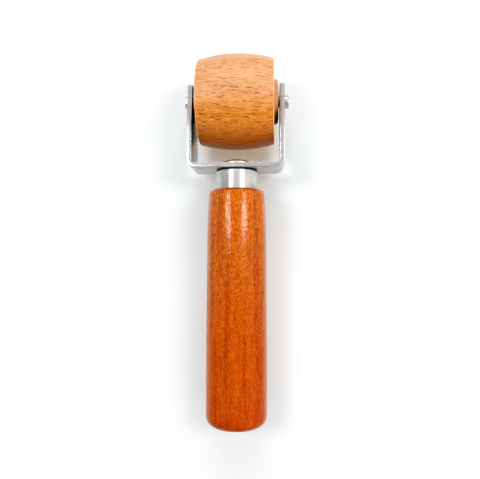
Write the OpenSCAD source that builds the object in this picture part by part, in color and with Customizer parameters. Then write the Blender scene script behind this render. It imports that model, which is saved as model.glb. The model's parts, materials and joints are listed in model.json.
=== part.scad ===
// Seam roller: a crowned beech roller on a riveted axle in a bent steel fork,
// fastened to a turned hardwood handle through a ferrule.
//
// The origin is the centre of the handle's flat butt face. +Y runs along the
// handle to the roller, +X along the roller's axle, +Z up as the tool lies.

/* [Handle] */
// Length of the handle, from its butt face to its shoulder
handle_len = 99; // [85:1:120]
// Diameter of the straight stretch next to the butt
handle_d = 25.6; // [24:0.2:30]
// Diameter at the upper end of the long taper
waist_d = 25.2; // [24:0.1:25.6]
// Diameter where the neck curve meets the rounded shoulder
neck_d = 23.6; // [22:0.2:24]
// Length of the straight stretch, from the end of the butt's rounding
straight_len = 32; // [20:1:40]
// Length of the neck curve
neck_len = 22; // [10:1:30]
// Radius of the rounding round the butt
butt_round = 4; // [1:0.5:6]
// Radius of the rounding at the shoulder
shoulder_round = 2; // [1:0.25:2.5]

/* [Ferrule and collar] */
// Outside diameter of the ferrule
ferrule_d = 18; // [17.5:0.5:20]
// Length of the ferrule
ferrule_len = 8; // [6:0.5:14]
// Wall thickness of the ferrule
ferrule_wall = 0.9; // [0.6:0.1:1.2]
// Outside diameter of the collar washer
collar_d = 17.2; // [15:0.1:18]
// Thickness of the collar washer
collar_t = 0.6; // [0.4:0.1:1.5]

/* [Fork] */
// Width of the steel strip
strip_w = 18; // [16:0.5:20]
// Thickness of the steel strip
strip_t = 2; // [1.5:0.1:2.2]
// Width of the fork over its two legs
fork_w = 40.7; // [40.5:0.1:46]
// Distance from the back of the web to the axle
axle_h = 29.5; // [27:0.1:36]
// Outside radius of the two bends
bend_r = 3.5; // [3:0.25:5]
// Distance from the axle to the tip of a leg
tip_above = 6.2; // [5:0.2:8]
// Width of a leg across its tip
tip_w = 13; // [8:0.2:14]
// Length of the tapered end of a leg
taper_len = 16.5; // [12:0.5:18]

/* [Roller] */
// Width of the roller between its rims
roller_w = 32; // [28:1:33]
// Diameter of the roller at the middle of its crown
roller_d = 40; // [36:1:42]
// Diameter of the roller at its rims
rim_d = 35.7; // [30:0.1:35.9]
// Radius of the broken edge along each rim
rim_round = 0.6; // [0.3:0.1:1.5]
// Diameter of the boss on each end of the roller
boss_d = 19; // [14:0.5:24]
// Height of each boss
boss_h = 1.75; // [1:0.05:1.8]

/* [Axle and bush] */
// Diameter of the rivet's shank
axle_d = 3.2; // [3:0.1:3.6]
// Diameter of the rivet's heads
rivet_head_d = 5.7; // [5:0.1:8]
// Height of the rivet's heads
rivet_head_h = 2; // [1:0.1:2.5]
// Outside diameter of the bush
bush_d = 5.2; // [4.8:0.1:7]

/* [Tang] */
// Diameter of the tang's shank
tang_d = 4.8; // [4:0.1:6]
// Length of the tang under its head
tang_len = 48; // [30:1:60]
// Diameter of the tang's domed head
tang_head_d = 13.2; // [10:0.2:16]
// Height of the straight edge round the tang's head
tang_head_edge = 1.2; // [0.4:0.1:1.6]
// Height of the tang's head at the middle of its dome
tang_head_h = 2.7; // [2:0.1:3]

/* [Hidden] */

$fn = 96;

run_gap = 0.05;     // radial clearance of the bush on the rivet
seat_gap = 0.01;    // radial clearance of parts that are pressed or driven together
collar_gap = 0.2;   // radial clearance of the collar washer on the tang
end_float = 0.2;    // gap between each end of the bush and the leg
cut = 1;            // how far a cutting solid runs past the surface it opens

// Stations along the tool
ferrule_y = handle_len;
collar_y = ferrule_y + ferrule_len;
web_y = collar_y + collar_t;
axle_y = web_y + axle_h;
tip_y = axle_y + tip_above;

leg_in = fork_w / 2 - strip_t;          // inner face of a leg
bush_len = 2 * (leg_in - end_float);
tenon_r = ferrule_d / 2 - ferrule_wall - seat_gap;
tenon_len = ferrule_len - ferrule_wall - 0.1;
tang_tip_y = web_y + strip_t - tang_len;
hole_d = axle_d + 2 * seat_gap;

// Points along an arc of n chords, angles in degrees
function arc(cx, cy, r, a0, a1, n) =
    [for (i = [0:n]) let (a = a0 + (a1 - a0) * i / n) [cx + r * cos(a), cy + r * sin(a)]];

// Turns an outline of [radius, distance] points about the handle's axis
module turned_y(outline) {
    rotate([-90, 0, 0]) rotate_extrude() polygon(outline);
}

// Turns an outline of [radius, distance] points about the roller's axle
module turned_x(outline) {
    translate([0, axle_y, 0]) rotate([0, 90, 0]) rotate_extrude() polygon(outline);
}

// A round bar along the handle's axis between two stations
module bar_y(d, y0, y1) {
    translate([0, y0, 0]) rotate([-90, 0, 0]) cylinder(d = d, h = y1 - y0);
}

// A round bar along the axle between two stations
module bar_x(d, x0, x1) {
    translate([x0, axle_y, 0]) rotate([0, 90, 0]) cylinder(d = d, h = x1 - x0);
}

// Turned handle: rounded butt, straight stretch, long slight taper, a neck
// that curves in to a rounded shoulder, and a tenon that fills the ferrule.
module handle() {
    butt_r = handle_d / 2;
    neck_r = neck_d / 2;
    waist_r = waist_d / 2;
    neck_top = handle_len - shoulder_round;
    neck = [for (i = [0:8]) let (u = i / 8)
        [waist_r + (neck_r - waist_r) * u * u, neck_top - neck_len * (1 - u)]];
    outline = concat(
        [[0, 0]],
        arc(butt_r - butt_round, butt_round, butt_round, -90, 0, 8),
        [[butt_r, butt_round + straight_len]],
        neck,
        arc(neck_r - shoulder_round, neck_top, shoulder_round, 10, 90, 6),
        [[tenon_r, handle_len], [tenon_r, handle_len + tenon_len], [0, handle_len + tenon_len]]);
    color("#b5622a") difference() {
        turned_y(outline);
        bar_y(tang_d + 2 * seat_gap, tang_tip_y - cut, handle_len + tenon_len + cut);
    }
}

// Drawn cup with a rounded rim and a hole for the tang in its flat end.
module ferrule() {
    r = ferrule_d / 2;
    hole_r = tang_d / 2 + 1;
    rim_r = 1;
    outline = concat(
        [[r, 0]],
        arc(r - rim_r, ferrule_len - rim_r, rim_r, 0, 90, 6),
        [[hole_r, ferrule_len], [hole_r, ferrule_len - ferrule_wall],
         [r - ferrule_wall, ferrule_len - ferrule_wall], [r - ferrule_wall, 0]]);
    color("#d3d5d8") translate([0, ferrule_y, 0]) turned_y(outline);
}

// Thin black washer between the ferrule and the fork.
module collar_washer() {
    color("#1d1c20") difference() {
        bar_y(collar_d, collar_y, web_y);
        bar_y(tang_d + 2 * collar_gap, collar_y - cut, web_y + cut);
    }
}

// One U outline of the fork, seen along Z; inset moves every face inward.
module u_outline(inset) {
    x = fork_w / 2 - inset;
    y0 = web_y + inset;
    r = bend_r - inset;
    translate([-x, y0 + r]) square([2 * x, tip_y + cut - y0]);
    translate([r - x, y0]) square([2 * (x - r), 2 * r]);
    for (side = [-1, 1]) translate([side * (x - r), y0 + r]) circle(r = r);
}

// Outline of the strip seen along X: full width, then a taper to each tip.
module leg_outline() {
    corner = 1.2;
    w = strip_w / 2;
    t = tip_w / 2;
    half = concat(
        [[web_y - cut, w], [tip_y - taper_len, w], [tip_y - 1.5 * corner, t + 0.1 * corner]],
        arc(tip_y - corner, t - corner, corner, 70, 0, 4));
    polygon(concat(half, [for (i = [len(half) - 1:-1:0]) [half[i][0], -half[i][1]]]));
}

// Fork: a steel strip bent to a U, its leg ends tapered, drilled for the
// axle rivet through both legs and for the tang through the web.
module fork() {
    color("#b9bcc0") difference() {
        intersection() {
            translate([0, 0, -strip_w / 2]) linear_extrude(strip_w) difference() {
                u_outline(0);
                u_outline(strip_t);
            }
            rotate([90, 0, 90]) translate([0, 0, -fork_w / 2]) linear_extrude(fork_w) leg_outline();
        }
        bar_x(hole_d, -fork_w / 2 - cut, fork_w / 2 + cut);
        bar_y(tang_d + 2 * seat_gap, web_y - cut, web_y + strip_t + cut);
    }
}

// Tang: a domed head inside the fork, a plain shank through the web and the
// collar, then ring-shaped barbs to a point that grips the handle.
module tang() {
    shank_r = tang_d / 2;
    head_r = tang_head_d / 2;
    dome = tang_head_h - tang_head_edge;
    dome_r = (head_r * head_r + dome * dome) / (2 * dome);
    dome_a = asin(head_r / dome_r);
    top = web_y + strip_t;
    tip_r = 0.6;        // radius of the blunt point
    point = 5;          // length of the point
    plain = 22;         // least length of plain shank under the head
    barb = 2.5;         // pitch of the barbs
    core_r = shank_r - 0.45;
    barbs = floor((tang_len - point - plain) / barb);
    barb_y = tang_tip_y + point;
    shank_y = barb_y + barbs * barb;
    outline = concat(
        [[0, tang_tip_y], [tip_r, tang_tip_y]],
        [for (i = [0:barbs - 1], crest = [0, 1])
            crest == 0 ? [core_r, barb_y + i * barb] : [shank_r, barb_y + (i + 0.8) * barb]],
        [[core_r, shank_y], [shank_r, shank_y], [shank_r, top], [head_r, top]],
        arc(0, top + tang_head_h - dome_r, dome_r, 90 - dome_a, 90, 12));
    color("#c8cace") turned_y(outline);
}

// One pan head of the axle rivet, standing on the plane z = 0.
module rivet_head() {
    bevel = 0.5;
    cylinder(d = rivet_head_d, h = rivet_head_h - bevel);
    translate([0, 0, rivet_head_h - bevel])
        cylinder(d1 = rivet_head_d, d2 = rivet_head_d - 3 * bevel, h = bevel);
}

// Axle rivet: a plain shank through both legs with a head on each end.
module axle_rivet() {
    color("#c3c5c8") {
        bar_x(axle_d, -fork_w / 2 - 0.1, fork_w / 2 + 0.1);
        for (side = [-1, 1])
            translate([side * fork_w / 2, axle_y, 0]) rotate([0, side * 90, 0]) rivet_head();
    }
}

// Plain tube that lines the roller and keeps it off the legs.
module roller_bush() {
    color("#a9a59a") difference() {
        bar_x(bush_d, -bush_len / 2, bush_len / 2);
        bar_x(axle_d + 2 * run_gap, -bush_len / 2 - cut, bush_len / 2 + cut);
    }
}

// Crowned roller with a low rounded boss on each end, bored for the bush.
module roller() {
    half_w = roller_w / 2;
    rise = (roller_d - rim_d) / 2;
    crown_r = (half_w * half_w + rise * rise) / (2 * rise);
    crown_a = asin((half_w - rim_round) / crown_r);
    rim_r = roller_d / 2 - crown_r * (1 - cos(crown_a));
    boss_r = boss_d / 2;
    boss_round = 0.9 * boss_h;
    end = concat(
        [[0, half_w + boss_h]],
        arc(boss_r - boss_round, half_w + boss_h - boss_round, boss_round, 90, 0, 6),
        [[boss_r, half_w]],
        arc(rim_r - rim_round, half_w - rim_round, rim_round, 90, 20, 4));
    crown = arc(roller_d / 2 - crown_r, 0, crown_r, crown_a, -crown_a, 24);
    outline = concat(end, crown, [for (i = [len(end) - 1:-1:0]) [end[i][0], -end[i][1]]]);
    color("#e3a56b") difference() {
        turned_x(outline);
        bar_x(bush_d + 2 * seat_gap, -half_w - boss_h - cut, half_w + boss_h + cut);
    }
}

handle();
ferrule();
collar_washer();
fork();
tang();
axle_rivet();
roller_bush();
roller();
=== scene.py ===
"""Looks of a seam roller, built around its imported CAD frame.

Everything is in metres in the frame's own axes: +Y along the handle to the roller,
+X along the roller's axle, +Z up, origin at the centre of the handle's butt face.
"""
import json
import math

import bmesh
import bpy
from mathutils import Euler, Matrix, Vector


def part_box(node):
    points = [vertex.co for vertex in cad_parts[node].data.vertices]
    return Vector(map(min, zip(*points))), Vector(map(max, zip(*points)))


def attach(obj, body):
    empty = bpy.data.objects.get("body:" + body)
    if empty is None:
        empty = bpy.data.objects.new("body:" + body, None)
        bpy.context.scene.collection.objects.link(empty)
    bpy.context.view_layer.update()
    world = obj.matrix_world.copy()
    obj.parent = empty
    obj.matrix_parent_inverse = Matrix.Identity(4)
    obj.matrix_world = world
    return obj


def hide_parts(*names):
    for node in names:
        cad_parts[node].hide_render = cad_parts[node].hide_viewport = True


MM = 0.001

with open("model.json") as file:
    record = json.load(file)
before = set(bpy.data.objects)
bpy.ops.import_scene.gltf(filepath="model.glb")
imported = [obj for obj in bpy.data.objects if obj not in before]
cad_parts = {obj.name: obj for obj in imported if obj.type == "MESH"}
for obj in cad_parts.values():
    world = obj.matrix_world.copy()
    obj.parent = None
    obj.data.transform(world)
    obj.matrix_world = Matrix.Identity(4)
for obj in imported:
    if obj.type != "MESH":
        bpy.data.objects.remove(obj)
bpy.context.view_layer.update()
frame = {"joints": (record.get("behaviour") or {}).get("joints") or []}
axle = Vector(frame["joints"][0]["pos_m"])

# ---------------------------------------------------------------------------
# Sizes. What a box in the frame can give comes from there; the rest is named here.
# ---------------------------------------------------------------------------
handle_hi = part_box("handle")[1]
ferrule_lo, ferrule_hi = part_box("ferrule")
collar_lo, collar_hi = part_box("collar_washer")
fork_lo, fork_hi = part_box("fork")
tang_lo, tang_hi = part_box("tang")
rivet_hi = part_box("axle_rivet")[1]
bush_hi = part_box("roller_bush")[1]
roller_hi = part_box("roller")[1]

# Handle
BUTT_ROUND = 4.0 * MM
STRAIGHT_LEN = 32.0 * MM
NECK_LEN = 22.0 * MM
SHOULDER_ROUND = 2.0 * MM
WAIST_R = 12.6 * MM
NECK_R = 11.8 * MM
# Ferrule
WALL = 0.9 * MM
FERRULE_RIM = 1.0 * MM
TANG_HOLE_IN_FERRULE = 3.4 * MM
# Tang
TANG_R = 2.4 * MM
BARB_PITCH = 2.5 * MM
BARB_DEPTH = 0.45 * MM
TANG_POINT = 5.0 * MM
TANG_PLAIN = 22.0 * MM
HEAD_EDGE = 1.2 * MM
HEAD_SOFT = 0.3 * MM
# Fork
STRIP_T = 2.0 * MM
BEND_R = 3.5 * MM
TAPER_LEN = 16.5 * MM
TIP_HALF_W = 6.5 * MM
TIP_CORNER = 1.2 * MM
ROLLOVER = 0.35 * MM
# Axle rivet
RIVET_R = 1.6 * MM
RIVET_HEAD_H = 2.0 * MM
# Roller
BOSS_R = 9.5 * MM
BOSS_H = 1.75 * MM
RIM_R = 17.85 * MM
RIM_ROUND = 0.6 * MM
# Clearances on the radius: of the bush on the rivet, and of pieces that sit tight
RUN_GAP = 0.05 * MM
SEAT_GAP = 0.01 * MM
# Meshes: a smaller radius than this counts as a point on the axis, a smaller angle as smooth
ON_AXIS_R = 0.0001 * MM
SHARP_DEG = 32

shoulder_y = ferrule_lo.y
web_y = fork_lo.y
web_in_y = web_y + STRIP_T
butt_r = handle_hi.x


# ---------------------------------------------------------------------------
# Mesh building
# ---------------------------------------------------------------------------
def arc(centre_r, centre_along, radius, start_deg, end_deg, steps):
    """Points (radius, along) on an arc about a centre, angles in degrees."""
    angles = [math.radians(start_deg + (end_deg - start_deg) * i / steps) for i in range(steps + 1)]
    return [(centre_r + radius * math.cos(a), centre_along + radius * math.sin(a)) for a in angles]


def turned(name, outline, axis, segments):
    """A solid turned from an outline of (radius, along) points about the handle's or the axle's line.

    The outline either starts and ends on the axis or is a closed ring."""
    bm = bmesh.new()
    angles = [2 * math.pi * i / segments for i in range(segments)]
    spokes = [(math.cos(a), math.sin(a)) for a in angles]
    rings = []
    for radius, along in outline:
        around = [(0.0, 0.0)] if radius < ON_AXIS_R else spokes
        rings.append([bm.verts.new(place(axis, radius * u, radius * v, along)) for u, v in around])
    is_ring = len(rings[0]) > 1
    pairs = list(zip(rings, rings[1:])) + ([(rings[-1], rings[0])] if is_ring else [])
    for lower, upper in pairs:
        skin(bm, lower, upper, segments)
    bmesh.ops.recalc_face_normals(bm, faces=bm.faces)
    return finish_mesh(name, bm)


def place(axis, u, v, along):
    """A point at (u, v) off the turning axis and so far along it."""
    if axis == "handle":
        return Vector((u, along, v))
    return Vector((along, axle.y + u, v))


def skin(bm, lower, upper, segments):
    """Quads between two rings, or triangles to a ring that is one point."""
    for i in range(segments):
        j = (i + 1) % segments
        if len(lower) == 1:
            bm.faces.new((lower[0], upper[i], upper[j]))
        elif len(upper) == 1:
            bm.faces.new((lower[i], lower[j], upper[0]))
        else:
            bm.faces.new((lower[i], lower[j], upper[j], upper[i]))


def finish_mesh(name, bm):
    """Turns a bmesh into a smooth-shaded object whose steep edges stay sharp."""
    mesh = bpy.data.meshes.new(name)
    bm.to_mesh(mesh)
    bm.free()
    mesh.shade_smooth()
    mesh.set_sharp_from_angle(angle=math.radians(SHARP_DEG))
    piece = bpy.data.objects.new(name, mesh)
    bpy.context.scene.collection.objects.link(piece)
    return piece


def stands_for(piece, node, body, material):
    """Puts a piece in a CAD node's place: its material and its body."""
    piece.data.materials.clear()
    piece.data.materials.append(material)
    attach(piece, body)
    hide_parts(node)


# ---------------------------------------------------------------------------
# Pieces
# ---------------------------------------------------------------------------
def spaced(p, q, n):
    """n points after p on the straight way to q, ending at q."""
    return [(p[0] + (q[0] - p[0]) * i / n, p[1] + (q[1] - p[1]) * i / n) for i in range(1, n + 1)]


def build_handle():
    """Turned handle with a rounded butt, a slight taper, a neck curve and a tenon."""
    neck_top = shoulder_y - SHOULDER_ROUND
    bore_r = TANG_R + SEAT_GAP
    tenon_r = ferrule_hi.x - WALL - SEAT_GAP
    tenon_edge = 0.5 * MM
    bore_bottom = tang_lo.y - 1.0 * MM
    shares = [i / 16 for i in range(17)]
    neck = [(WAIST_R + (NECK_R - WAIST_R) * u * u, neck_top - NECK_LEN * (1 - u)) for u in shares]
    outline = [(0.0, 0.0)]
    outline += spaced((0.0, 0.0), (butt_r - BUTT_ROUND, 0.0), 6)
    outline += arc(butt_r - BUTT_ROUND, BUTT_ROUND, BUTT_ROUND, -90, 0, 16)[1:]
    outline += spaced(outline[-1], (butt_r, BUTT_ROUND + STRAIGHT_LEN), 12)
    outline += spaced(outline[-1], neck[0], 14)
    outline += neck[1:]
    outline += arc(NECK_R - SHOULDER_ROUND, neck_top, SHOULDER_ROUND, 8, 90, 10)
    outline += [(tenon_r, shoulder_y), (tenon_r, handle_hi.y - tenon_edge)]
    outline += [(tenon_r - tenon_edge, handle_hi.y), (bore_r, handle_hi.y)]
    outline += [(bore_r, bore_bottom), (0.0, bore_bottom)]
    return turned("handle_turned", outline, "handle", 160)


def build_ferrule():
    """Drawn metal cup with a rounded rim, open at the handle's end."""
    r = ferrule_hi.x
    edge = 0.15 * MM
    outline = [(r - edge, ferrule_lo.y), (r, ferrule_lo.y + edge)]
    outline += spaced(outline[-1], (r, ferrule_hi.y - FERRULE_RIM), 8)
    outline += arc(r - FERRULE_RIM, ferrule_hi.y - FERRULE_RIM, FERRULE_RIM, 0, 90, 10)[1:]
    outline += [(TANG_HOLE_IN_FERRULE, ferrule_hi.y), (TANG_HOLE_IN_FERRULE, ferrule_hi.y - WALL)]
    outline += [(r - WALL, ferrule_hi.y - WALL), (r - WALL, ferrule_lo.y)]
    return turned("ferrule_cup", outline, "handle", 128)


def build_collar():
    """Thin washer with rounded outer corners."""
    edge = 0.25 * MM
    r = collar_hi.x
    hole = TANG_R + 0.2 * MM
    outline = [(hole, collar_lo.y)]
    outline += arc(r - edge, collar_lo.y + edge, edge, -90, 0, 4)
    outline += arc(r - edge, collar_hi.y - edge, edge, 0, 90, 4)
    outline += [(hole, collar_hi.y)]
    return turned("collar_disc", outline, "handle", 96)


def build_tang():
    """Domed head, plain shank, ring barbs and a blunt point."""
    core = TANG_R - BARB_DEPTH
    point_r = 0.6 * MM
    head_under = 0.1 * MM
    barb_slope = 0.8 * BARB_PITCH
    barb_y = tang_lo.y + TANG_POINT
    head_r = tang_hi.x
    barbs = round((web_in_y - barb_y - TANG_PLAIN) / BARB_PITCH)
    dome = tang_hi.y - web_in_y - HEAD_EDGE
    dome_r = (head_r * head_r + dome * dome) / (2 * dome)
    rim_a = math.degrees(math.asin((head_r - HEAD_SOFT) / dome_r))
    outline = [(0.0, tang_lo.y), (point_r, tang_lo.y)]
    for i in range(barbs):
        start_y = barb_y + i * BARB_PITCH
        outline += [(core, start_y), (TANG_R, start_y + barb_slope)]
    shank_y = barb_y + barbs * BARB_PITCH
    outline += [(core, shank_y), (TANG_R, shank_y), (TANG_R, web_in_y)]
    outline += [(head_r - head_under, web_in_y), (head_r, web_in_y + head_under)]
    outline += arc(head_r - HEAD_SOFT, web_in_y + HEAD_EDGE - HEAD_SOFT, HEAD_SOFT, 0, 90 - rim_a, 5)
    outline += arc(0.0, tang_hi.y - dome_r, dome_r, 90 - rim_a, 90, 20)[:-1]
    outline += [(0.0, tang_hi.y)]
    return turned("tang_domed", outline, "handle", 96)


def build_rivet():
    """Shank and two pan heads with softly rounded edges."""
    half = fork_hi.x
    head_r = rivet_hi.z
    head_under = 0.1 * MM
    soft = 0.55 * MM
    crowning = 0.02 * MM
    top = half + RIVET_HEAD_H
    head = [(RIVET_R, half), (head_r - head_under, half), (head_r, half + head_under)]
    head += arc(head_r - soft, top - soft, soft, 0, 78, 6)
    head += [(head_r / 2, top - crowning), (0.0, top)]
    mirrored = [(r, -x) for r, x in reversed(head)]
    return turned("axle_rivet_headed", mirrored + head, "axle", 64)


def build_bush():
    """Plain tube between the legs."""
    outer = bush_hi.z
    inner = RIVET_R + RUN_GAP
    half = bush_hi.x
    edge = 0.12 * MM
    outline = [(inner, -half), (outer - edge, -half), (outer, -half + edge)]
    outline += spaced(outline[-1], (outer, half - edge), 8)
    outline += [(outer - edge, half), (inner, half)]
    return turned("roller_bush_tube", outline, "axle", 64)


def build_roller():
    """Crowned barrel with a broken edge on each rim and a low boss on each end."""
    half = roller_hi.x - BOSS_H
    mid_r = roller_hi.z
    rise = mid_r - RIM_R
    crown_r = (half * half + rise * rise) / (2 * rise)
    crown_a = math.degrees(math.asin((half - RIM_ROUND) / crown_r))
    edge_r = mid_r - crown_r * (1 - math.cos(math.radians(crown_a)))
    boss_round = 0.9 * BOSS_H
    boss_foot = 0.1 * MM
    bore = bush_hi.z + SEAT_GAP
    bore_edge = 0.15 * MM
    face = half + BOSS_H
    end = [(bore, face - bore_edge), (bore + bore_edge, face)]
    end += arc(BOSS_R - boss_round, face - boss_round, boss_round, 90, 0, 10)
    end += [(BOSS_R, half + boss_foot), (BOSS_R + boss_foot, half)]
    end += spaced(end[-1], (edge_r - RIM_ROUND, half), 8)
    end += arc(edge_r - RIM_ROUND, half - RIM_ROUND, RIM_ROUND, 80, 14, 6)
    crown = arc(mid_r - crown_r, 0.0, crown_r, crown_a, -crown_a, 48)
    mirrored = [(r, -x) for r, x in reversed(end)]
    return turned("roller_barrel", end + crown + mirrored, "axle", 192)


def leg_half_width(s):
    """Half the strip's width at a distance s from a leg's tip."""
    full = fork_hi.z
    if s < TIP_CORNER:
        return TIP_HALF_W - TIP_CORNER + math.sqrt(max(0.0, TIP_CORNER ** 2 - (TIP_CORNER - s) ** 2))
    return min(full, TIP_HALF_W + (full - TIP_HALF_W) * (s - TIP_CORNER) / (TAPER_LEN - TIP_CORNER))


def strip_path():
    """Stations along the bent strip: (centre point, outward normal, distance from the nearer tip). The
    bends and the web, where the width no longer changes, all take the leg's length as the distance."""
    leg_x = fork_hi.x - STRIP_T / 2
    bend_r = BEND_R - STRIP_T / 2
    leg_len = fork_hi.y - (web_y + BEND_R)
    steps = [TIP_CORNER * share for share in (0.0, 0.05, 0.15, 0.3, 0.5, 0.75, 1.0)]
    steps += [TIP_CORNER + (TAPER_LEN - TIP_CORNER) * i / 8 for i in range(1, 9)]
    steps += [TAPER_LEN + (leg_len - TAPER_LEN) * i / 4 for i in range(1, 4)]
    half = [(Vector((leg_x, fork_hi.y - s, 0)), Vector((1, 0, 0)), s) for s in steps]
    corner = Vector((leg_x - bend_r, web_y + BEND_R, 0))
    for i in range(13):
        angle = math.radians(-90 * i / 12)
        outward = Vector((math.cos(angle), math.sin(angle), 0))
        half.append((corner + outward * bend_r, outward, leg_len))
    for i in range(1, 5):
        centre = Vector((corner.x * (1 - i / 4), web_y + STRIP_T / 2, 0))
        half.append((centre, Vector((0, -1, 0)), leg_len))
    left = [(Vector((-p.x, p.y, 0)), Vector((-n.x, n.y, 0)), s) for p, n, s in reversed(half[:-1])]
    return half + left


def sheared_edge(half_t, half_w):
    """Points (across thickness, across width) round one edge, as shearing leaves it: rolled over on the
    outer side, a smooth land, then a rougher, slightly lower break down to the inner side."""
    roll = min(ROLLOVER, 0.6 * half_t)
    burr = 0.12 * MM
    land_end = -0.15 * half_t
    break_run = 0.05 * MM
    break_depth = 0.07 * MM
    points = arc(half_t - roll, half_w - roll, roll, 0, 90, 6)
    points += [(land_end, half_w), (land_end - break_run, half_w - 0.6 * break_depth)]
    points += arc(burr - half_t, half_w - break_depth - burr, burr, 90, 180, 3)
    return points


def strip_section(half_t, half_w):
    """Closed outline of the strip, from the outer face round both edges."""
    top = sheared_edge(half_t, half_w)
    return top + [(t, -w) for t, w in reversed(top)]


def build_fork():
    """Steel strip bent to a U, its edges softened as shearing leaves them, then drilled."""
    bm = bmesh.new()
    rings = []
    path = strip_path()
    end_soft = 0.2 * MM
    spare = 1.0 * MM
    for k, (centre, normal, s) in enumerate(path):
        at_tip = k in (0, len(path) - 1)
        half_t = STRIP_T / 2 - (end_soft if at_tip else 0.0)
        section = strip_section(half_t, leg_half_width(s))
        rings.append([bm.verts.new(centre + normal * t + Vector((0, 0, w))) for t, w in section])
    for lower, upper in zip(rings, rings[1:]):
        skin(bm, lower, upper, len(lower))
    bm.faces.new(rings[0])
    bm.faces.new(rings[-1])
    bmesh.ops.recalc_face_normals(bm, faces=bm.faces)
    piece = finish_mesh("fork_strip", bm)
    drill(piece, "axle", RIVET_R + SEAT_GAP, -fork_hi.x - spare, fork_hi.x + spare)
    drill(piece, "handle", TANG_R + SEAT_GAP, web_y - spare, web_in_y + spare)
    piece.data.set_sharp_from_angle(angle=math.radians(SHARP_DEG))
    return piece


def drill(piece, axis, radius, start, end):
    """Cuts a round hole through a piece and keeps the result as its mesh."""
    cutter = turned("cutter", [(0.0, start), (radius, start), (radius, end), (0.0, end)], axis, 64)
    cut = piece.modifiers.new("hole", "BOOLEAN")
    cut.operation = "DIFFERENCE"
    cut.solver = "EXACT"
    cut.object = cutter
    bpy.context.view_layer.update()
    evaluated = piece.evaluated_get(bpy.context.evaluated_depsgraph_get())
    mesh = bpy.data.meshes.new_from_object(evaluated)
    piece.modifiers.clear()
    old = piece.data
    piece.data = mesh
    bpy.data.meshes.remove(old)
    bpy.data.meshes.remove(cutter.data)


# ---------------------------------------------------------------------------
# Materials
# ---------------------------------------------------------------------------
# Share of a cell by which each row of flecks slides past the last, so that rows hardly ever line up.
GOLDEN = 0.618


class Nodes:
    """Short way to write the node tree of a material or a world: each call adds one node and returns
    one of its outputs."""

    def __init__(self, owner):
        owner.use_nodes = True
        self.owner = owner
        self.tree = owner.node_tree
        self.tree.nodes.clear()

    def add(self, kind, inputs=None, output=0, **settings):
        """One node with its inputs linked or set. Returns the named or numbered output."""
        node = self.tree.nodes.new("ShaderNode" + kind)
        for key, value in settings.items():
            setattr(node, key, value)
        for key, value in (inputs or {}).items():
            if isinstance(value, bpy.types.NodeSocket):
                self.tree.links.new(value, node.inputs[key])
            else:
                node.inputs[key].default_value = value
        return node.outputs[output]

    def part(self, vector, axis):
        return self.add("SeparateXYZ", {"Vector": vector}, axis)

    def math(self, operation, a, b=0.0):
        return self.add("Math", {0: a, 1: b}, operation=operation)

    def vector_math(self, operation, a, b=(0, 0, 0), output="Vector"):
        return self.add("VectorMath", {0: a, 1: b}, output, operation=operation)

    def scaled(self, vector, factor):
        return self.add("VectorMath", {0: vector, "Scale": factor}, operation="SCALE")

    def ramp(self, value, low, high, to_low=0.0, to_high=1.0):
        """A soft step from to_low at low to to_high at high, where high may lie below low."""
        inputs = {"Value": value, 1: low, 2: high, 3: to_low, 4: to_high}
        return self.add("MapRange", inputs, "Result", interpolation_type="SMOOTHSTEP")

    def mix(self, factor, a, b):
        """Colour a where the factor is 0, colour b where it is 1. Inputs 6 and 7 and output 2 are the
        node's colour sockets."""
        return self.add("Mix", {0: factor, 6: a, 7: b}, 2, data_type="RGBA")

    def end(self, kind, surface):
        """Ends the tree with an output node. Returns the material or the world."""
        node = self.tree.nodes.new("ShaderNode" + kind)
        self.tree.links.new(surface, node.inputs["Surface"])
        return self.owner


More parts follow.
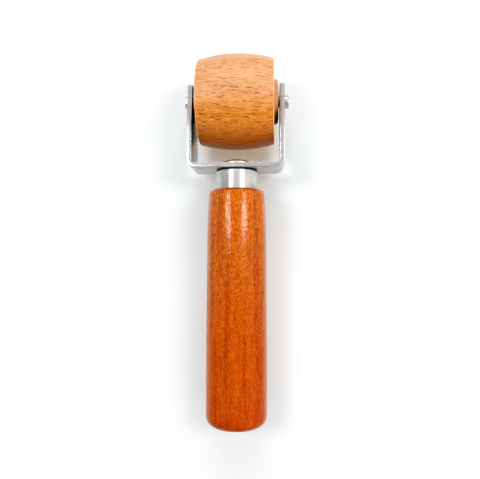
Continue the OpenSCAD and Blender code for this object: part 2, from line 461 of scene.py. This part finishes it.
class MaterialNodes(Nodes):
    """A material's node tree. Its patterns are placed in metres in the frame's axes."""

    def __init__(self, name):
        super().__init__(bpy.data.materials.new(name))
        self.coords = self.add("TexCoord", output="Object")

    def stretched(self, scale, vector=None, shift=(0, 0, 0)):
        """A position times a scale per axis, in cycles a metre."""
        source = self.coords if vector is None else vector
        return self.add("Mapping", {"Vector": source, "Scale": scale, "Location": shift})

    def staggered(self, vector):
        """Slides each row of unit cells along X by its own share of a cell, so that none line up."""
        x, y, z = (self.part(vector, axis) for axis in range(3))
        row_y = self.math("MULTIPLY", self.math("FLOOR", y), GOLDEN)
        row_z = self.math("MULTIPLY", self.math("FLOOR", z), 1 - GOLDEN)
        slid = self.math("ADD", x, self.math("ADD", row_y, row_z))
        return self.add("CombineXYZ", {"X": slid, "Y": y, "Z": z})

    def on_cylinder(self, centre, along, radius):
        """Object coordinates moved in or out to a cylinder, so a pattern keeps its size on a crown and
        runs inwards on an end face. Returns them and the distance from the cylinder's axis."""
        place = self.vector_math("SUBTRACT", self.coords, centre)
        along_part = self.vector_math("MULTIPLY", place, along)
        across = self.vector_math("SUBTRACT", place, along_part)
        unit = self.vector_math("NORMALIZE", across)
        moved = self.vector_math("ADD", self.scaled(unit, radius), along_part)
        return moved, self.vector_math("LENGTH", across, output="Value")

    def noise(self, vector, detail=3.0, rough=0.5, distortion=0.0):
        """Noise from 0 to 1, most of it between 0.35 and 0.65, with cells one unit across."""
        return self.add("TexNoise", {"Vector": vector, "Scale": 1.0, "Detail": detail, "Roughness": rough,
                                     "Distortion": distortion}, "Fac")

    def facing(self, axis):
        """How far a surface faces along one of the piece's own axes, from -1 to 1."""
        return self.part(self.add("TexCoord", output="Normal"), axis)

    def facing_in_room(self, axis):
        """How far a surface faces along one of the room's axes, from -1 to 1."""
        return self.part(self.add("NewGeometry", output="Normal"), axis)

    def open_to_air(self, distance):
        """1 where nothing is near, falling to 0 in a narrow gap. It places painted shade and painted
        bounce light.
        """
        return self.add("AmbientOcclusion", {"Distance": distance}, "AO", samples=8)

    def bump(self, height, distance, strength=1.0):
        return self.add("Bump", {"Height": height, "Distance": distance, "Strength": strength}, "Normal")

    def shade(self, **inputs):
        """Ends the tree with one Principled shader and returns the material. Each input is named as in
        Blender, with _ for a space."""
        named = {key.replace("_", " "): value for key, value in inputs.items()}
        return self.end("OutputMaterial", self.add("BsdfPrincipled", named))


def rgb(r, g, b):
    return (r, g, b, 1.0)


def flecks(n, cells, radius, share):
    """Sparse spindles, one at most in each unit cell: 1 inside, 0 outside. share is the part of cells
    that hold one."""
    distance = n.add("TexVoronoi", {"Vector": cells, "Scale": 1.0, "Randomness": 1.0}, "Distance")
    pick = n.add("SeparateColor", {"Color": distance.node.outputs["Color"]}, "Red")
    present = n.math("LESS_THAN", pick, share)
    core = 0.45 * radius
    return n.math("MULTIPLY", present, n.ramp(distance, radius, core))


def growth_rings(n, pith, axis, spacing):
    """Rings about a pith outside the piece: 0 in the pale early wood, rising to 1 at each ring's dark
    edge."""
    across = [1.0, 1.0, 1.0]
    across[axis] = 0.0
    from_pith = n.vector_math("MULTIPLY", n.vector_math("SUBTRACT", n.coords, pith), across)
    distance = n.vector_math("LENGTH", from_pith, output="Value")
    bend = n.math("MULTIPLY", n.noise(n.stretched((40, 40, 40)), 2.0), 0.9)
    phase = n.math("FRACT", n.math("ADD", n.math("DIVIDE", distance, spacing), bend))
    return n.math("MULTIPLY", n.ramp(phase, 0.35, 0.92), n.ramp(phase, 1.0, 0.94))


def end_mask(n, axis):
    """1 on faces square to the grain, 0 on faces along it."""
    return n.ramp(n.math("ABSOLUTE", n.facing(axis)), 0.80, 0.95)


def beech_material():
    """Sanded and varnished beech, grain along the axle: fine fibres, short red-brown ray flecks, darker
    end grain, a painted highlight along each rim and painted shade in narrow gaps. A tint that stays
    with the room paints light on it: a paler painted sheen where it faces up or towards the far window,
    and painted shade, deeper and redder, where it faces the handle."""
    n = MaterialNodes("beech_roller")
    wrapped, radius = n.on_cylinder(axle, (1, 0, 0), roller_hi.z)
    sway = n.noise(n.stretched((45, 90, 90), wrapped), 1.0)
    drift = n.scaled((0.0, 1.0, -1.0), n.math("MULTIPLY", sway, 1.0 * MM))
    swayed = n.vector_math("ADD", wrapped, drift)
    fibre = n.noise(n.stretched((100, 1050, 1050), swayed), 3.0, 0.55)
    band = n.noise(n.stretched((14, 260, 260), wrapped), 3.0, 0.5, 0.4)
    rings = growth_rings(n, (0.0, axle.y - 0.034, -0.026), 0, 2.7 * MM)
    strong_cells = n.staggered(n.stretched((360, 1550, 1550), swayed, shift=(0.3, 0.1, 0.7)))
    strong = flecks(n, strong_cells, radius=0.56, share=0.19)
    faint_cells = n.staggered(n.stretched((460, 1750, 1750), swayed, shift=(7.7, 1.9, 4.4)))
    faint = flecks(n, faint_cells, radius=0.58, share=0.50)
    dashes = n.noise(n.stretched((380, 1500, 1500), swayed, shift=(5.1, 2.2, 3.3)), 1.0)

    base = n.mix(n.ramp(band, 0.36, 0.66), rgb(0.74, 0.310, 0.034), rgb(0.70, 0.270, 0.024))
    base = n.mix(n.math("MULTIPLY", rings, 0.12), base, rgb(0.58, 0.190, 0.014))
    base = n.mix(n.ramp(fibre, 0.48, 0.64, 0.0, 0.50), base, rgb(0.54, 0.165, 0.010))
    base = n.mix(n.ramp(dashes, 0.48, 0.36, 0.0, 0.45), base, rgb(0.86, 0.440, 0.110))

    # Painted light that stays with the room: a pale sheen where the roller faces up or towards the far
    # window, painted shade where it faces the handle, and flecks in lit and shaded tones.
    to_window = n.facing_in_room(1)
    base = n.mix(n.ramp(to_window, -0.60, 0.15, 0.0, 0.60), base, rgb(0.56, 0.375, 0.255))
    base = n.mix(n.ramp(to_window, -0.60, -0.95, 0.0, 0.85), base, rgb(0.62, 0.165, 0.003))
    painted_lit_side = n.ramp(to_window, -0.30, 0.20)
    faint_tone = n.mix(painted_lit_side, rgb(0.44, 0.110, 0.008), rgb(0.47, 0.180, 0.070))
    strong_tone = n.mix(painted_lit_side, rgb(0.28, 0.040, 0.006), rgb(0.37, 0.110, 0.036))
    base = n.mix(n.math("MULTIPLY", faint, 0.66), base, faint_tone)
    base = n.mix(n.math("MULTIPLY", strong, 0.88), base, strong_tone)

    end_tone = n.mix(n.math("MULTIPLY", rings, 0.7), rgb(0.60, 0.190, 0.016), rgb(0.36, 0.085, 0.008))
    end_tone = n.mix(n.ramp(fibre, 0.45, 0.7, 0.0, 0.5), end_tone, rgb(0.62, 0.24, 0.05))
    base = n.mix(end_mask(n, 0), base, end_tone)

    # Painted highlight: a pale, patchy line along each rounded rim.
    half = roller_hi.x - BOSS_H
    off_middle = n.math("ABSOLUTE", n.part(n.vector_math("SUBTRACT", n.coords, axle), 0))
    at_end = n.ramp(off_middle, half - 0.60 * MM, half - 0.10 * MM)
    rim_highlight = n.math("MULTIPLY", at_end, n.ramp(radius, RIM_R - 1.1 * MM, RIM_R - 0.5 * MM))
    patchy = n.ramp(n.noise(n.stretched((300, 300, 300))), 0.3, 0.6, 0.45, 0.95)
    base = n.mix(n.math("MULTIPLY", rim_highlight, patchy), base, rgb(0.88, 0.58, 0.33))

    # Painted shade: near black in narrow gaps, such as between the bosses and the legs.
    gap_shade = n.ramp(n.open_to_air(9 * MM), 0.42, 0.10, 0.0, 0.75)
    base = n.mix(gap_shade, base, rgb(0.045, 0.012, 0.003))

    height = n.math("SUBTRACT", n.math("MULTIPLY", fibre, 0.6), strong)
    return n.shade(Base_Color=base, Roughness=n.ramp(fibre, 0.3, 0.7, 0.40, 0.54),
                   Normal=n.bump(height, 0.03 * MM, 0.7), Specular_IOR_Level=0.30,
                   Coat_Weight=0.45, Coat_Roughness=0.34)


def stained_material():
    """Hardwood with an orange-red stain under lacquer, grain along the handle: a fine mottle of pores,
    a few long darker lines and stain that has gathered round the butt. Light is painted on it too: a
    lighter, yellower tone towards the shoulder, painted shade round the shoulder under the ferrule, and
    a painted pale reflection on the sides where the lacquer is seen edge on. The lacquer is uneven, and
    thin towards the butt."""
    n = MaterialNodes("stained_handle")
    along = n.part(n.coords, 1)
    streak = n.noise(n.stretched((230, 14, 230), shift=(0.4, 0, 1.3)), 3.0, 0.55, 0.3)
    grain = n.noise(n.stretched((800, 120, 800)), 3.0, 0.55)
    mottle = n.noise(n.stretched((2300, 850, 2300), shift=(7, 3, 1)), 1.0)
    speckled = n.ramp(along, 25 * MM, 85 * MM, 0.36, 0.68)
    lines = n.noise(n.stretched((420, 9, 420), shift=(3, 1, 5)), 2.0)
    pores = flecks(n, n.stretched((2000, 650, 2000), shift=(2.4, 1.0, 4.2)), radius=0.50, share=0.35)

    base = n.mix(n.ramp(streak, 0.34, 0.68), rgb(0.540, 0.106, 0.0018), rgb(0.430, 0.069, 0.0011))
    # Painted light: lighter and yellower towards the shoulder, standing in for the lacquer's sheen and
    # the brighter light there.
    base = n.mix(n.ramp(along, 20 * MM, 90 * MM, 0.0, 0.9), base, rgb(0.550, 0.170, 0.0040))
    pale_spots = n.math("MULTIPLY", n.ramp(mottle, 0.50, 0.60), speckled)
    base = n.mix(pale_spots, base, rgb(0.68, 0.215, 0.0050))
    dark_spots = n.math("MULTIPLY", n.ramp(mottle, 0.49, 0.38), speckled)
    base = n.mix(dark_spots, base, rgb(0.38, 0.054, 0.0009))
    base = n.mix(n.ramp(grain, 0.50, 0.68, 0.0, 0.55), base, rgb(0.38, 0.045, 0.0010))
    base = n.mix(n.ramp(lines, 0.60, 0.68, 0.0, 0.30), base, rgb(0.33, 0.030, 0.0008))
    dark_pores = n.math("MULTIPLY", pores, n.ramp(lines, 0.52, 0.66, 0.25, 0.95))
    base = n.mix(dark_pores, base, rgb(0.24, 0.014, 0.0006))

    pooled = n.ramp(n.noise(n.stretched((170, 120, 170), shift=(1, 8, 2)), 2.0), 0.40, 0.6, 0.05, 0.7)
    at_butt = n.math("MULTIPLY", n.ramp(along, 9 * MM, 2 * MM), pooled)
    base = n.mix(at_butt, base, rgb(0.40, 0.028, 0.0010))
    # Painted shade: a dark band round the shoulder, under the ferrule's rim.
    shoulder_shade = n.ramp(along, shoulder_y - 1.6 * MM, shoulder_y - 0.2 * MM, 0.0, 0.75)
    base = n.mix(shoulder_shade, base, rgb(0.13, 0.014, 0.0010))
    rings = growth_rings(n, (-0.030, 0.0, -0.024), 1, 2.1 * MM)
    end_tone = n.mix(rings, rgb(0.30, 0.032, 0.0015), rgb(0.15, 0.010, 0.0008))
    base = n.mix(n.math("MULTIPLY", end_mask(n, 1), 0.8), base, end_tone)

    # Painted reflection: the sides seen edge on are tinted pale, as lacquer there mirrors the pale table.
    edge_on_reflection = n.add("LayerWeight", {"Blend": 0.5}, "Facing")
    base = n.mix(n.ramp(edge_on_reflection, 0.42, 0.78, 0.0, 0.52), base, rgb(0.60, 0.40, 0.31))

    height = n.math("SUBTRACT", n.math("ADD", mottle, n.math("MULTIPLY", grain, 0.5)), pores)
    ripple = n.noise(n.stretched((2000, 1400, 2000), shift=(4, 4, 4)), 2.0)
    filled = n.noise(n.stretched((1500, 1000, 1500), shift=(8, 1, 6)), 1.0)
    worn = n.ramp(along, 15 * MM, 95 * MM, 0.30, 1.0)
    lacquer = n.math("MULTIPLY", worn, n.ramp(filled, 0.40, 0.56, 0.25, 1.0))
    return n.shade(Base_Color=base, Roughness=0.45, Normal=n.bump(height, 0.03 * MM, 0.6),
                   Specular_IOR_Level=0.0, Coat_Weight=lacquer, Coat_Roughness=0.10,
                   Coat_Normal=n.bump(ripple, 0.045 * MM))


def plating(n, bright, dull, smoothest, roughest, scratch):
    """Colour, roughness and line pattern of plated metal: cloudy plating and fine drawn lines, which
    scratch gives in cycles a metre."""
    cloud = n.noise(n.stretched((220, 220, 220)), 4.0, 0.6)
    line = n.noise(n.stretched(scratch), 4.0, 0.65)
    base = n.mix(n.ramp(cloud, 0.35, 0.7), bright, dull)
    base = n.mix(n.ramp(line, 0.55, 0.8, 0.0, 0.3), base, dull)
    in_line = n.ramp(line, 0.4, 0.8, 0.0, 0.08)
    rough = n.math("ADD", n.ramp(cloud, 0.3, 0.7, smoothest, roughest), in_line)
    return base, rough, line


def plain_metal_material(name, bright, dull, smoothest, roughest, scratch):
    """Plated or drawn metal with a slight change of sheen."""
    n = MaterialNodes(name)
    base, rough, line = plating(n, bright, dull, smoothest, roughest, scratch)
    return n.shade(Base_Color=base, Metallic=1.0, Roughness=rough, Normal=n.bump(line, 0.01 * MM, 0.5))


def nickel_material():
    """Nickel plate, a little yellow in places."""
    return plain_metal_material("nickel_rivet", rgb(0.70, 0.70, 0.68), rgb(0.58, 0.57, 0.50),
                                smoothest=0.26, roughest=0.38, scratch=(700, 700, 700))


def tube_steel_material():
    """Plain steel tube with lines along it."""
    return plain_metal_material("bush_steel", rgb(0.66, 0.63, 0.55), rgb(0.50, 0.47, 0.38),
                                smoothest=0.25, roughest=0.40, scratch=(90, 1500, 1500))


def zinc_material():
    """Zinc-plated strip, darker and rougher on the edges of the legs' tapered tips, and painted shade,
    near black, in narrow gaps."""
    n = MaterialNodes("zinc_plate")
    base, rough, line = plating(n, rgb(0.66, 0.67, 0.67), rgb(0.55, 0.56, 0.56),
                                smoothest=0.22, roughest=0.33, scratch=(900, 900, 60))
    # Darker and rougher on the edges of the legs' tapered tips.
    taper_y = fork_hi.y - TAPER_LEN
    on_taper = n.ramp(n.part(n.coords, 1), taper_y - 6 * MM, taper_y + 6 * MM)
    on_edge = n.ramp(n.math("ABSOLUTE", n.facing(2)), 0.4, 0.8)
    cut = n.math("MULTIPLY", on_edge, on_taper)
    base = n.mix(n.math("MULTIPLY", cut, 0.75), base, rgb(0.31, 0.30, 0.28))
    # Painted shade: near black in narrow gaps.
    gap_shade = n.ramp(n.open_to_air(6 * MM), 0.42, 0.10, 0.0, 0.9)
    base = n.mix(gap_shade, base, rgb(0.03, 0.026, 0.022))
    rough = n.math("ADD", rough, n.math("MULTIPLY", cut, 0.15))
    return n.shade(Base_Color=base, Metallic=1.0, Roughness=rough, Normal=n.bump(line, 0.01 * MM, 0.5))


def turned_material():
    """Bright drawn tube with fine turning marks round it, which draw its highlights out along it."""
    n = MaterialNodes("polished_tube")
    base, rough, line = plating(n, rgb(0.94, 0.94, 0.93), rgb(0.87, 0.86, 0.84),
                                smoothest=0.44, roughest=0.52, scratch=(120, 2600, 120))
    return n.shade(Base_Color=base, Metallic=1.0, Roughness=rough, Normal=n.bump(line, 0.004 * MM, 0.5),
                   Anisotropic=1.0, Tangent=n.add("CombineXYZ", {"Y": 1.0}))


def collar_material():
    """Black fibre washer with a slightly open surface."""
    n = MaterialNodes("black_fibre")
    grain = n.noise(n.stretched((1500, 1500, 1500)), 4.0, 0.6)
    base = n.mix(grain, rgb(0.004, 0.004, 0.005), rgb(0.016, 0.015, 0.017))
    rough = n.ramp(grain, 0.3, 0.7, 0.55, 0.8)
    return n.shade(Base_Color=base, Roughness=rough, Normal=n.bump(grain, 0.02 * MM))


def floor_material():
    """Matte white acrylic, lit a little from below as a product table is. Its glow is painted light:
    cooler beside the tool, which levels out the shadow's colour, and warmer under it, a painted
    bounce of light off the wood that also warms the base colour there."""
    n = MaterialNodes("pale_floor")
    openness = n.open_to_air(35 * MM)
    beside_tool = n.ramp(openness, 0.94, 0.68)
    under_tool = n.ramp(openness, 0.62, 0.22)
    grain = n.noise(n.stretched((60, 60, 60)))
    base = n.mix(grain, rgb(0.560, 0.575, 0.577), rgb(0.575, 0.59, 0.591))
    # Painted warm bounce light off the wood, in the base colour under the tool.
    base = n.mix(n.math("MULTIPLY", under_tool, 0.8), base, rgb(0.57, 0.53, 0.46))
    glow = n.mix(beside_tool, rgb(1.0, 1.0, 1.0), rgb(0.98, 1.14, 1.20))
    glow = n.mix(under_tool, glow, rgb(1.0, 0.86, 0.70))
    return n.shade(Base_Color=base, Roughness=0.6, Specular_IOR_Level=0.2,
                   Emission_Color=glow, Emission_Strength=0.178)


# ---------------------------------------------------------------------------
# Stage
# ---------------------------------------------------------------------------
FLOOR_REACH = 4.0
FLOOR_GAP = 0.02 * MM
LIT_POINT = Vector((0, 0.09, 0))
LAMP_WATTS = 1.06
LAMP_SIZE = (0.15, 0.24)
LEFT_LAMP_AT = Vector((-0.335, 0.20, 0.60))
RIGHT_LAMP_AT = Vector((0.39, 0.20, 0.60))
WINDOW_WATTS = 1.6
WINDOW_SIZE = (0.62, 0.32)
WINDOW_AT = Vector((0.0, 0.75, 0.45))
LENS_MM = 36.4
SENSOR_MM = 36.0
CAMERA_FROM_AXLE = Vector((14.77, -66.76, 207.04)) * MM
CAMERA_TURN = Euler((0.0369, 0.0644, 0.0017))


def build_floor(material):
    """A wide table top that the roller and the rim of the butt both rest on."""
    rim = Vector((0, BUTT_ROUND, -(butt_r - BUTT_ROUND)))
    reach = axle.y - rim.y
    drop = roller_hi.z - BUTT_ROUND
    span = math.hypot(reach, rim.z)
    tilt = math.asin(drop / span) - math.asin(-rim.z / span)
    up = Vector((0, math.sin(tilt), math.cos(tilt)))
    centre = axle - up * (roller_hi.z + FLOOR_GAP)
    bm = bmesh.new()
    bmesh.ops.create_grid(bm, x_segments=24, y_segments=24, size=FLOOR_REACH)
    turn = Matrix.Translation(centre) @ up.to_track_quat("Z", "Y").to_matrix().to_4x4()
    bmesh.ops.transform(bm, matrix=turn, verts=bm.verts)
    floor = finish_mesh("floor", bm)
    floor.data.materials.append(material)


def area_light(name, at, size, watts):
    """A white rectangular lamp that faces the lit point."""
    lamp = bpy.data.lights.new(name, "AREA")
    lamp.shape = "RECTANGLE"
    lamp.size, lamp.size_y = size
    lamp.energy = watts
    holder = bpy.data.objects.new(name, lamp)
    holder.location = at
    holder.rotation_mode = "QUATERNION"
    holder.rotation_quaternion = (LIT_POINT - at).to_track_quat("-Z", "Y")
    bpy.context.scene.collection.objects.link(holder)


def build_lights():
    """Two lamps over the tool, which draw the handle's two long highlights, and a far window."""
    area_light("left_lamp", LEFT_LAMP_AT, LAMP_SIZE, LAMP_WATTS)
    area_light("right_lamp", RIGHT_LAMP_AT, LAMP_SIZE, LAMP_WATTS)
    area_light("far_window", WINDOW_AT, WINDOW_SIZE, WINDOW_WATTS)


def build_world():
    """A dim room that brightens towards the window and is darker past it, with a faint pale wall on
    the left and a warm wall on the right. The camera itself sees a plain grey."""
    world = bpy.data.worlds.new("studio")
    bpy.context.scene.world = world
    n = Nodes(world)
    direction = n.add("TexCoord", output="Generated")
    x = n.part(direction, 0)
    y = n.part(direction, 1)
    past_window = n.ramp(y, 0.35, 0.75, 0.0, -0.12)
    overhead = n.math("ADD", n.ramp(y, -0.7, 0.2, 0.38, 0.48), past_window)
    room = n.add("Background", {"Color": rgb(0.98, 0.99, 1.0), "Strength": overhead})
    left_wall = n.add("Background", {"Color": rgb(1.0, 1.0, 1.0),
                                     "Strength": n.ramp(x, -0.55, -0.95, 0.0, 0.16)})
    right_wall = n.add("Background", {"Color": rgb(1.0, 0.93, 0.83),
                                      "Strength": n.ramp(x, 0.35, 0.80, 0.0, 0.48)})
    lit = n.add("AddShader", {0: room, 1: n.add("AddShader", {0: left_wall, 1: right_wall})})
    seen = n.add("Background", {"Color": rgb(0.62, 0.62, 0.61)})
    to_camera = n.add("LightPath", output="Is Camera Ray")
    shown = n.add("MixShader", {0: to_camera, 1: lit, 2: seen})
    n.end("OutputWorld", shown)


def build_camera():
    """Looks down on the tool from close above, a little to the right of its middle."""
    data = bpy.data.cameras.new("camera")
    data.sensor_width = SENSOR_MM
    data.lens = LENS_MM
    data.clip_start = 0.01
    data.clip_end = 20.0
    camera = bpy.data.objects.new("camera", data)
    camera.location = axle + CAMERA_FROM_AXLE
    camera.rotation_euler = CAMERA_TURN
    bpy.context.scene.collection.objects.link(camera)
    bpy.context.scene.camera = camera


# ---------------------------------------------------------------------------
# Assembly
# ---------------------------------------------------------------------------
stained = stained_material()
nickel = nickel_material()

stands_for(build_handle(), "handle", "tool", stained)
stands_for(build_ferrule(), "ferrule", "tool", turned_material())
stands_for(build_collar(), "collar_washer", "tool", collar_material())
stands_for(build_fork(), "fork", "tool", zinc_material())
stands_for(build_tang(), "tang", "tool", nickel)
stands_for(build_rivet(), "axle_rivet", "tool", nickel)
stands_for(build_bush(), "roller_bush", "wheel", tube_steel_material())
stands_for(build_roller(), "roller", "wheel", beech_material())

build_floor(floor_material())
build_lights()
build_world()
build_camera()
bpy.context.scene.view_settings.view_transform = "Standard"
bpy.context.scene.view_settings.look = "High Contrast"
